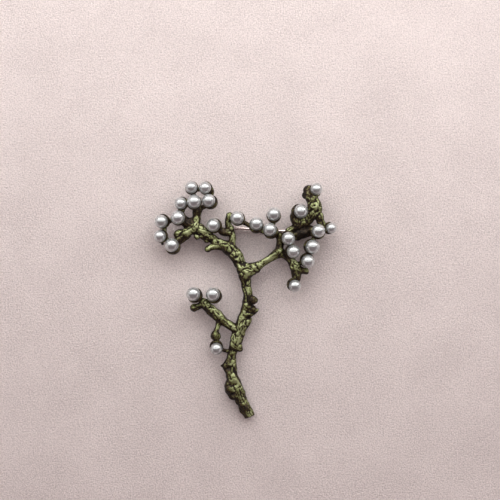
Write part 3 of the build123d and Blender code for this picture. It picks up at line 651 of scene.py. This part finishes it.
# Patches that darken the lacquer or, with a minus, lighten it: partly antiquing left thick or wiped clean,
# partly painted shade on shadowed masses and painted highlights on lit tips:
# middle x and y, radius, share of the lacquer that is gone
wearAndShadePatches = [
    (-0.4, -29.1, 0.9, -0.60), (1.3, -33.3, 0.8, -0.60), (13.4, 11.2, 0.8, -0.60), (16.8, 8.4, 0.7, -0.60),
    (15.0, 7.3, 0.6, -0.50), (-2.6, -10.6, 2.6, -0.60), (1.2, 8.0, 2.2, 0.10), (-14.0, 18.6, 3.0, -0.48),
    (-13.6, 22.4, 1.4, -0.60), (14.0, 9.6, 1.7, -0.60), (6.6, 12.2, 2.2, -0.30), (17.0, 19.6, 3.2, 0.95),
    (14.6, 24.4, 2.2, 0.60), (17.9, 31.9, 2.2, 0.60), (-18.9, 17.2, 1.8, 0.65), (-16.9, 23.6, 2.3, 0.92),
    (2.2, 0.2, 1.6, 0.80), (-11.2, -3.0, 1.5, 0.40), (-9.2, 18.6, 1.4, 0.40), (-5.6, 15.6, 1.3, 0.40),
    (-5.4, -26.6, 1.6, 0.55), (-6.2, -19.2, 1.3, 0.60), (15.4, 7.6, 2.0, 0.60), (16.9, 8.3, 1.2, 0.60),
    (14.6, 5.2, 1.4, 0.55), (11.8, 12.3, 1.8, 0.45), (10.2, 17.2, 2.2, 0.60), (-8.5, -10.0, 2.0, 0.45),
    (-14.0, -1.8, 1.6, 0.45), (-6.4, 20.1, 1.9, 0.75), (20.6, 22.6, 2.2, 0.55), (-3.6, -15.8, 1.2, 0.50),
    (-12.6, 17.2, 1.3, 0.45), (1.0, -4.6, 1.0, 0.50), (-2.6, -31.0, 1.8, 0.55), (-1.6, -26.6, 1.2, 0.55),
    (-0.9, -31.0, 1.3, 0.45), (-4.4, -28.2, 1.4, 0.50), (1.7, -1.6, 1.5, 0.55), (-6.3, -14.4, 1.4, 0.85),
    (2.5, -2.7, 1.2, 0.45), (-4.8, -19.9, 0.9, 0.75), (-4.6, -17.4, 0.8, 0.60), (0.2, -31.2, 1.2, 0.75),
    (-2.5, -29.3, 1.4, 0.60), (-6.4, -6.0, 1.6, 0.40), (13.8, 10.6, 1.6, 0.40), (18.9, 29.6, 1.8, 0.40),
    (-24.0, 16.5, 0.9, 0.80), (0.3, 22.6, 1.7, 0.70), (4.9, 21.9, 1.6, 0.70), (-5.2, 23.8, 0.7, 0.50),
    (-9.5, 31.7, 1.2, 0.60), (-13.8, 26.0, 1.6, 0.75), (-11.6, 27.8, 1.8, 0.70), (10.2, 20.0, 1.6, 0.50),
    (-5.0, -24.6, 1.3, 0.45),
]

points, edges, normals = meshArrays(castMesh)
own = alongLimbs(points)[0]
hollow, valley = (
    np.einsum("ij,ij->i", neighbourMean(points, edges, lacquer[rounds]) - points, normals)
    for rounds in ("hollowRounds", "valleyRounds")
)
mottle = sum(
    share * smoothNoise(drawnOut(own, stretch), size, seed)
    for share, stretch, size, seed in lacquer["mottles"]
)
patina = lacquer["level"] + lacquer["mottle"] * mottle - lacquer["crease"] * creased * calm
patina = patina - hollow / lacquer["hollow"] - valley / lacquer["valley"]
# Painted shade: walls that face down, or away from the lights at +y and +x, are darkened, and faces turned up
# and towards the lights stay light
tilted = neighbourMean(normals, edges, lacquer["paintedShadeRounds"])
wall = smoothStep(tilted @ np.array(lacquer["paintedShadeLean"]), *lacquer["paintedShadeFade"])
patina = smoothStep(patina, *lacquer["fade"]) * (lacquer["paintedShadeLeast"] + (1 - lacquer["paintedShadeLeast"]) * wall)
# Patches: antiquing left thick or wiped clean, together with painted shade on shadowed masses and painted
# highlights on lit tips
patina = takenAway(patina, points, wearAndShadePatches)
patina = np.clip(layeredNoise(points, lacquer["cloudNoise"], start=patina), 0, 1)
movePoints(castMesh, points * metre)
castMesh.name = "branchCasting"
branchCasting = bpy.data.objects.new("branchCasting", castMesh)
scene.collection.objects.link(branchCasting)
keepValue(branchCasting, "patina", patina)
print("casting made:", len(castMesh.polygons), "faces")

cupPoints, cupFaces = joined([cupSkin(name) for name in pearlLeans])
pearlCups = meshObject("pearlCups", cupPoints, cupFaces)
cupShade = layeredNoise(cupPoints, cups["shadeNoise"], start=cups["shade"])
keepValue(pearlCups, "patina", np.clip(cupShade, 0, 1))

# Pearls: glass beads with a pearl skin, glued on a drilled side that is down in the cup
beads = {
    "rings": 38, "around": 56, "firstSeed": 130,
    "waver": 0.004, "waverSize": 1.6,
    "drill": 0.34, "dimple": 0.10,
    "dimpleFrom": 2,  # radians from the top, past which the drilled side begins
}


def beadSkin(name, seed):
    # P(u, v) = centre + radius w(u, v) (cos u lean + sin u ring(v)), with a dimple round the drill hole
    centre, radius, lean = pearlPlace(name)
    u = np.linspace(0, math.pi, beads["rings"] + 2)[1:-1][::-1]
    rows = aroundLean(centre, lean, radius * np.sin(u), radius * np.cos(u), beads["around"])
    out = unit(rows - centre)
    dip = beads["dimple"] * np.exp(-((radius * np.sin(u) / beads["drill"]) ** 2)) * (u > beads["dimpleFrom"])
    waver = 0.5 + 0.5 * smoothNoise(out * radius, beads["waverSize"], seed)
    size = radius * (1 - beads["waver"] * waver) - dip[:, None]
    rows = centre + out * size[..., None]
    top = centre + lean * radius * (1 - beads["waver"])
    return skin(rows, centre - lean * (radius - beads["dimple"]), top)


pearlBeads = []
for number, name in enumerate(pearlLeans):
    bead = meshObject("pearlBead" + name[-2:], *beadSkin(name, beads["firstSeed"] + number))
    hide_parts(name)
    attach(bead, "brooch")
    pearlBeads.append(bead)
print("pearls made:", len(pearlBeads))

# The pin behind: along is the stem's own way from the rivet, aside is along the rivet
pin = {
    "rivet": (-4.9287, 21.2290, 1.0),
    "along": (0.998118, -0.061326, 0.0),
    "aside": (0.061326, 0.998118, 0.0),
    "reach": 21.767, "end": 23.067,
    "eyeRadius": 0.95, "eyeHole": 0.45, "eyeThickness": 1.0,
    "eyeAround": 48, "eyeSection": 24, "eyePower": 5.0,
    "stemStart": 0.72,  # as a share of the eye's radius
    "stemRings": (40, 60, 24),  # root, wire and point
    "stemAround": 28,
    "rootRadius": 0.6, "rootBreadth": 0.80, "rootLength": 5.6, "rootPower": 3.2,
    "wireRadius": 0.375, "wirePower": 2.0,
    "pointLength": 2.6, "pointRound": 0.55, "pointStraight": 0.45, "poleOut": 0.1,
    "rivetRadius": 0.4,
    "rivetHead": 1.35,  # as a share of the shank's radius
    "rivetProfile": [(0.16, 0.45), (0.12, 0.8), (0.03, 1.0), (-0.01, 1.0)],  # past the ear, share
    "rivetCrown": 0.02,
    "earOffset": 0.62, "earThickness": 0.6, "earBreadth": 1.6, "hingeTop": 4.14, "bridge": 2.07,
    "catchLength": 2.2, "catchInner": 0.525, "catchWall": 0.55, "catchTop": 3.7,
    "edge": 0.12, "gap": 0.02, "sharpAngle": 50, "shade": 0.42,
}


def fromPin(places):
    # (along, aside, up from the rivet) to the frame's axes
    axes = np.array([pin["along"], pin["aside"], (0.0, 0.0, 1.0)])
    return np.array(pin["rivet"]) + np.asarray(places, float) @ axes


def roundedRing(a, width, depth, power):
    # A rounded rectangle as a superellipse: |x / width| ^ power + |y / depth| ^ power = 1
    c, s = np.cos(a), np.sin(a)
    return width * np.sign(c) * np.abs(c) ** (2 / power), depth * np.sign(s) * np.abs(s) ** (2 / power)


def eyeSkin():
    # A flat ring round the rivet: the rounded rectangle carried round a circle
    wall = (pin["eyeRadius"] - pin["eyeHole"]) / 2
    turn = fullTurn(pin["eyeAround"])[:, None]
    a = fullTurn(pin["eyeSection"])
    across, side = roundedRing(a, wall, pin["eyeThickness"] / 2, pin["eyePower"])
    distance = pin["eyeHole"] + wall + across
    rows = spreadOut(distance * np.cos(turn), side, distance * np.sin(turn))
    return skin(fromPin(np.vstack([rows, rows[:1]])))


def stemSkin():
    # P(s, a): a superellipse that is flat at the eye and turns round by the end of the root
    near, pointStart = pin["eyeRadius"] * pin["stemStart"], pin["end"] - pin["pointLength"]
    ends = [near, pin["rootLength"], pointStart, pin["end"]]
    root, wire, point = (np.linspace(*span) for span in zip(ends[:-1], ends[1:], pin["stemRings"]))
    s = np.concatenate([root, wire[1:], point[1:-1]])[:, None]
    a = fullTurn(pin["stemAround"])
    slim = smoothStep(s, pin["eyeRadius"], pin["rootLength"])
    left = np.clip((pin["end"] - s) / pin["pointLength"], 0, 1)
    taper = np.sqrt(np.clip(1 - (1 - left) ** 2, 0, 1)) * pin["pointRound"] + left * pin["pointStraight"]
    high = (pin["rootRadius"] * (1 - slim) + pin["wireRadius"] * slim) * taper
    wide = (pin["rootRadius"] * pin["rootBreadth"] * (1 - slim) + pin["wireRadius"] * slim) * taper
    power = pin["rootPower"] * (1 - slim) + pin["wirePower"] * slim
    rows = fromPin(spreadOut(s, *roundedRing(a, wide, high, power)))
    return skin(rows, fromPin([near - pin["poleOut"], 0, 0]), fromPin([pin["end"] - pin["gap"], 0, 0]))


def channelSkin(outline, start, stop):
    # A closed outline of (aside, up) carried along the pin's way, with its ends drawn in by the edge
    outline = np.array(outline, float)
    edge = pin["edge"]
    inward = unit(np.roll(outline, -1, axis=0) - np.roll(outline, 1, axis=0))
    inward = np.stack([-inward[:, 1], inward[:, 0]], axis=1)
    turn = np.linspace(0, math.pi / 2, 4)
    shift = edge * (1 - np.sin(turn))
    draw = np.concatenate([start + edge * (1 - np.cos(turn)), stop - edge * (1 - np.cos(turn[::-1]))])
    pull = np.concatenate([shift, shift[::-1]])[:, None]
    rows = spreadOut(draw[:, None], *(outline.T[:, None] + inward.T[:, None] * pull))
    points, faces = skin(fromPin(rows))
    count = len(outline)
    total = len(points)
    ends = [np.arange(count)[::-1][None], np.arange(total - count, total)[None]]
    return points, faces + ends


def roundedOutline(corners, radius):
    # Each corner of a closed outline turned into an arc of that radius
    corners = np.array(corners, float)
    made = []
    for here, before, after in zip(corners, np.roll(corners, 1, axis=0), np.roll(corners, -1, axis=0)):
        t = np.linspace(0, 1, 5)[:, None]
        start = here + unit(before - here) * radius
        stop = here + unit(after - here) * radius
        made.append((1 - t) ** 2 * start + 2 * t * (1 - t) * here + t**2 * stop)
    return np.vstack(made)


def channelOutline(inner, outer, low, roof, top):
    # An upside-down U: legs down to low, the slot's roof, and the top
    return roundedOutline([
        (-outer, low), (-inner, low), (-inner, roof), (inner, roof), (inner, low), (outer, low), (outer, top),
        (-outer, top),
    ], pin["edge"])


def rivetSkin(half):
    # A shank with a low domed head at either end: radius as a function of the place across
    out, share = np.array(pin["rivetProfile"]).T
    across = np.append(-half - out, -half + pin["gap"])
    radius = np.append(pin["rivetRadius"] * pin["rivetHead"] * share, pin["rivetRadius"])
    across = np.concatenate([across, -across[::-1]])
    radius = np.concatenate([radius, radius[::-1]])[:, None]
    a = fullTurn(pin["stemAround"])
    rows = spreadOut(radius * np.sin(a), across[:, None], radius * np.cos(a))
    crown = pin["rivetCrown"]
    return skin(fromPin(rows), fromPin([0, across[0] - crown, 0]), fromPin([0, across[-1] + crown, 0]))


base = -pin["rivet"][2]
foot = base + pin["gap"]
earOuter = pin["earOffset"] + pin["earThickness"]
hingeOutline = channelOutline(pin["earOffset"], earOuter, foot, pin["bridge"] + base, pin["hingeTop"] + base)
pinHinge = meshObject("pinHinge", *channelSkin(hingeOutline, -pin["earBreadth"] / 2, pin["earBreadth"] / 2))
catchInner = pin["catchInner"]
catchOutline = channelOutline(
    catchInner, catchInner + pin["catchWall"], foot, catchInner, pin["catchTop"] + base
)
catchStart = pin["reach"] - pin["catchLength"] / 2
pinCatch = meshObject("pinCatch", *channelSkin(catchOutline, catchStart, catchStart + pin["catchLength"]))
for made in (pinHinge, pinCatch):
    made.data.set_sharp_from_angle(angle=math.radians(pin["sharpAngle"]))
    keepValue(made, "patina", np.full(len(made.data.vertices), pin["shade"]))
pinStem = meshObject("pinStem", *joined([eyeSkin(), stemSkin()]))
pinRivet = meshObject("pinRivet", *rivetSkin(earOuter))
print("pin made")


def addNode(tree, kind, settings, links=None):
    # A node of that kind, its own settings or its sockets' values, and what feeds its sockets
    made = tree.nodes.new("ShaderNode" + kind)
    for name, value in settings.items():
        if name == "stops":
            ramp = made.color_ramp
            while len(ramp.elements) < len(value):
                ramp.elements.new(0.5)
            for element, (place, code) in zip(ramp.elements, value):
                element.position = place
                element.color = toLinear(code)
        elif isinstance(name, int) or name in made.inputs and not hasattr(made, name):
            made.inputs[name].default_value = value
        else:
            setattr(made, name, value)
    for name, source in (links or {}).items():
        tree.links.new(source, made.inputs[name])
    return made


def newMaterial(name):
    # An empty material, its nodes, and the Object coordinates that its patterns are read at
    made = bpy.data.materials.new(name)
    made.use_nodes = True
    made.node_tree.nodes.clear()
    return made, made.node_tree, addNode(made.node_tree, "TexCoord", {}).outputs["Object"]


def noiseNode(tree, place, settings):
    return addNode(tree, "TexNoise", settings, {"Vector": place}).outputs["Fac"]


def colourNode(tree, source, stops):
    return addNode(tree, "ValToRGB", {"stops": stops}, {"Fac": source}).outputs["Color"]


def rangeNode(tree, source, low, high, first, last):
    # source from low and high to first and last, and held beyond them
    settings = {"From Min": low, "From Max": high, "To Min": first, "To Max": last}
    return addNode(tree, "MapRange", settings, {"Value": source}).outputs["Result"]


def bumpNode(tree, source, strength, distance):
    settings = {"Strength": strength, "Distance": distance}
    return addNode(tree, "Bump", settings, {"Height": source}).outputs["Normal"]


def mathNode(tree, settings, links):
    # Its sockets all have one name, so they go by number
    return addNode(tree, "Math", settings, links).outputs[0]


def finishMaterial(tree, settings, links):
    surface = addNode(tree, "BsdfPrincipled", settings, links)
    addNode(tree, "OutputMaterial", {}, {"Surface": surface.outputs["BSDF"]})


def lacqueredCasting():
    # Cast zinc alloy, antiqued brown-black and flooded with translucent olive lacquer:
    # the lacquer pools glossy green on open faces, and hollows stay dark and duller
    made, tree, place = newMaterial("lacqueredCasting")
    # The level read here holds the lacquer's antiquing together with the painted shade and painted highlights
    # laid on the casting
    wearAndShade = {"attribute_name": "patina", "attribute_type": "GEOMETRY"}
    wearAndShade = addNode(tree, "Attribute", wearAndShade).outputs["Fac"]
    # Blotches of about 0.5 mm where the lacquer lies thicker, and a grain of about 0.2 mm
    blotch = noiseNode(tree, place, {"Scale": 1900.0, "Detail": 3.0, "Roughness": 0.65})
    grain = noiseNode(tree, place, {"Scale": 4500.0, "Detail": 2.0})
    shift = mathNode(tree, {"operation": "MULTIPLY_ADD", 1: 1.7, 2: -0.87}, {0: blotch})
    level = mathNode(tree, {"operation": "ADD", "use_clamp": True}, {0: wearAndShade, 1: shift})
    colour = colourNode(tree, level, [
        (0.00, "#150d06"), (0.20, "#2e2011"), (0.40, "#4a3e22"),
        (0.58, "#64683e"), (0.78, "#828957"), (1.00, "#959971"),
    ])
    finishMaterial(tree, {"Metallic": 0.68, "Coat Roughness": 0.25}, {
        "Base Color": colour,
        "Roughness": rangeNode(tree, level, 0.0, 0.7, 0.56, 0.43),
        "Normal": bumpNode(tree, grain, 0.55, 0.00006),
        "Coat Weight": rangeNode(tree, level, 0.1, 0.6, 0.04, 0.16),
    })
    return made


def pearlBead():
    # Glass bead dipped in pearl essence: silvery grey body, a clear hard gloss over it,
    # and a soft pale glow towards its edge
    made, tree, place = newMaterial("pearlEssenceBead")
    cloud = noiseNode(tree, place, {"Scale": 420.0, "Detail": 2.0})
    finishMaterial(tree, {
        "Metallic": 0.66, "Roughness": 0.11, "Coat Weight": 1.0, "Coat Roughness": 0.05, "Coat IOR": 1.7,
        "Sheen Weight": 0.35, "Sheen Roughness": 0.45,
        "Subsurface Weight": 1.0, "Subsurface Scale": 0.002, "Subsurface Radius": (1.0, 0.97, 0.9),
    }, {"Base Color": colourNode(tree, cloud, [(0.30, "#a6a9a8"), (0.70, "#b1b3b2")])})
    return made


def pinSteel():
    # Drawn steel wire with a thin rose-silver plating: bright, with faint drawing lines 0.1 mm apart
    made, tree, place = newMaterial("drawnPlatedSteel")
    lie = {"Rotation": (0.0, 0.0, 0.0614), "Scale": (0.06, 1.0, 1.0)}
    turned = addNode(tree, "Mapping", lie, {"Vector": place}).outputs["Vector"]
    lines = noiseNode(tree, turned, {"Scale": 9000.0, "Detail": 2.0})
    finishMaterial(tree, {"Metallic": 1.0, "Roughness": 0.22}, {
        "Base Color": colourNode(tree, lines, [(0.30, "#dfd0c9"), (0.70, "#eee2dc")]),
        "Normal": bumpNode(tree, lines, 0.08, 0.00001),
    })
    return made


def feltedCloth():
    # A fine pinkish beige felted cloth: matt, with fibres about 0.4 mm wide and faint wide clouds
    made, tree, place = newMaterial("feltedCloth")
    fibre = noiseNode(tree, place, {"Scale": 2300.0, "Detail": 4.0, "Roughness": 0.7, "Distortion": 0.4})
    cloud = noiseNode(tree, place, {"Scale": 60.0, "Detail": 3.0})
    mixed = mathNode(tree, {"operation": "MULTIPLY_ADD", 1: 0.18}, {0: cloud, 2: fibre})
    finishMaterial(tree, {"Roughness": 0.9, "Sheen Weight": 0.15, "Specular IOR Level": 0.2}, {
        "Base Color": colourNode(tree, mixed, [(0.43, "#c6b9b6"), (0.69, "#ecdfdb")]),
        "Normal": bumpNode(tree, fibre, 1.0, 0.00062),
    })
    return made


castFinish = lacqueredCasting()
beadFinish = pearlBead()
steelFinish = pinSteel()
for made in (branchCasting, pearlCups, pinHinge, pinCatch):
    made.data.materials.append(castFinish)
    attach(made, "brooch")
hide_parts("branch")
pinRivet.data.materials.append(steelFinish)
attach(pinRivet, "brooch")
pinStem.data.materials.append(steelFinish)
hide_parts("pin_stem")
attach(pinStem, "pin")
for bead in pearlBeads:
    bead.data.materials.append(beadFinish)
print("finishes given")

# Studio: a cloth-covered table, a window-like light beyond the crown, a small lamp nearer to it,
# low pale walls all round, and a dim room
studio = {
    "table": 900.0, "tableCells": 60, "tableDrop": 0.02,
    "daylight": (0.975, 1.0, 0.995),
    "room": "#d8b0b5",
    "roomHeights": (0.05, 0.55), "roomStrengths": (0.50, 0.26),  # near the horizon, and overhead
}
# Softboxes: one edge's (height, way out), the other's, width, place aside, heading, power
softboxes = {
    "windowLight": ((560.0, 10.0), (250.0, 420.0), 1500.0, -150.0, 0.0, 3.4),
    "backWallLight": ((300.0, 290.0), (0.0, 310.0), 1100.0, 200.0, 0.0, 0.8),
    "leftWallLight": ((200.0, 520.0), (0.0, 521.0), 900.0, 0.0, 90.0, 0.42),
    "rightWallLight": ((200.0, 520.0), (0.0, 521.0), 900.0, 0.0, -90.0, 0.38),
    "frontWallLight": ((160.0, 520.0), (0.0, 521.0), 900.0, 0.0, 180.0, 0.22),
    "lampLight": ((130.0, 98.0), (70.0, 150.0), 460.0, 80.0, 0.0, 0.26),
}


def clothFlat():
    # P(x, y) = (x, y, -drop) on an even grid over the table
    count = studio["tableCells"] + 1
    side = np.linspace(-studio["table"] / 2, studio["table"] / 2, count)
    points = spreadOut(side, side[:, None], -studio["tableDrop"]).reshape(-1, 3)
    at = np.arange(count * count).reshape(count, count)
    return points, [np.stack([at[:-1, :-1], at[:-1, 1:], at[1:, 1:], at[1:, :-1]], axis=-1).reshape(-1, 4)]


tableCloth = meshObject("tableCloth", *clothFlat())
tableCloth.data.materials.append(feltedCloth())


def leaningLight(name, high, low, width, aside, heading, power):
    # A softbox that leans over the table: one edge at (height, way out), the other lower and further out
    (highZ, near), (lowZ, far) = high, low
    light = bpy.data.lights.new(name, "AREA")
    light.shape = "RECTANGLE"
    light.size = width * metre
    light.size_y = math.hypot(highZ - lowZ, far - near) * metre
    light.energy = power
    light.color = studio["daylight"]
    made = bpy.data.objects.new(name, light)
    turn = math.radians(heading)
    aside, out = aside * metre, (near + far) / 2 * metre
    made.location = (
        aside * math.cos(turn) - out * math.sin(turn),
        aside * math.sin(turn) + out * math.cos(turn),
        (highZ + lowZ) / 2 * metre,
    )
    made.rotation_euler = (-math.atan2(highZ - lowZ, far - near), 0.0, turn)
    scene.collection.objects.link(made)


for name, facts in softboxes.items():
    leaningLight(name, *facts)
room = bpy.data.worlds.new("dimRoom")
room.use_nodes = True
back = room.node_tree.nodes["Background"]
back.inputs["Color"].default_value = toLinear(studio["room"])
way = addNode(room.node_tree, "TexCoord", {}).outputs["Generated"]
height = addNode(room.node_tree, "SeparateXYZ", {}, {"Vector": way}).outputs["Z"]
strength = rangeNode(room.node_tree, height, *studio["roomHeights"], *studio["roomStrengths"])
room.node_tree.links.new(strength, back.inputs["Strength"])
scene.world = room
scene.view_settings.view_transform = "Standard"

# Camera: straight above, as far as a phone is held
lookOver = {
    "fieldWidth": 145.0,  # mm across the picture at the height of the branch
    "middle": (1.39, 14.70),
    "height": 600.0,
    "branchHeight": 4.5,
    "sensor": 36.0,
    "clipStart": 10.0,
}
camera = bpy.data.cameras.new("frontCamera")
camera.sensor_width = lookOver["sensor"]
camera.lens = lookOver["sensor"] * lookOver["height"] / lookOver["fieldWidth"]
camera.clip_start = lookOver["clipStart"] * metre
frontCamera = bpy.data.objects.new("frontCamera", camera)
frontCamera.location = np.array([*lookOver["middle"], lookOver["height"] + lookOver["branchHeight"]]) * metre
scene.collection.objects.link(frontCamera)
scene.camera = frontCamera

print("studio set")
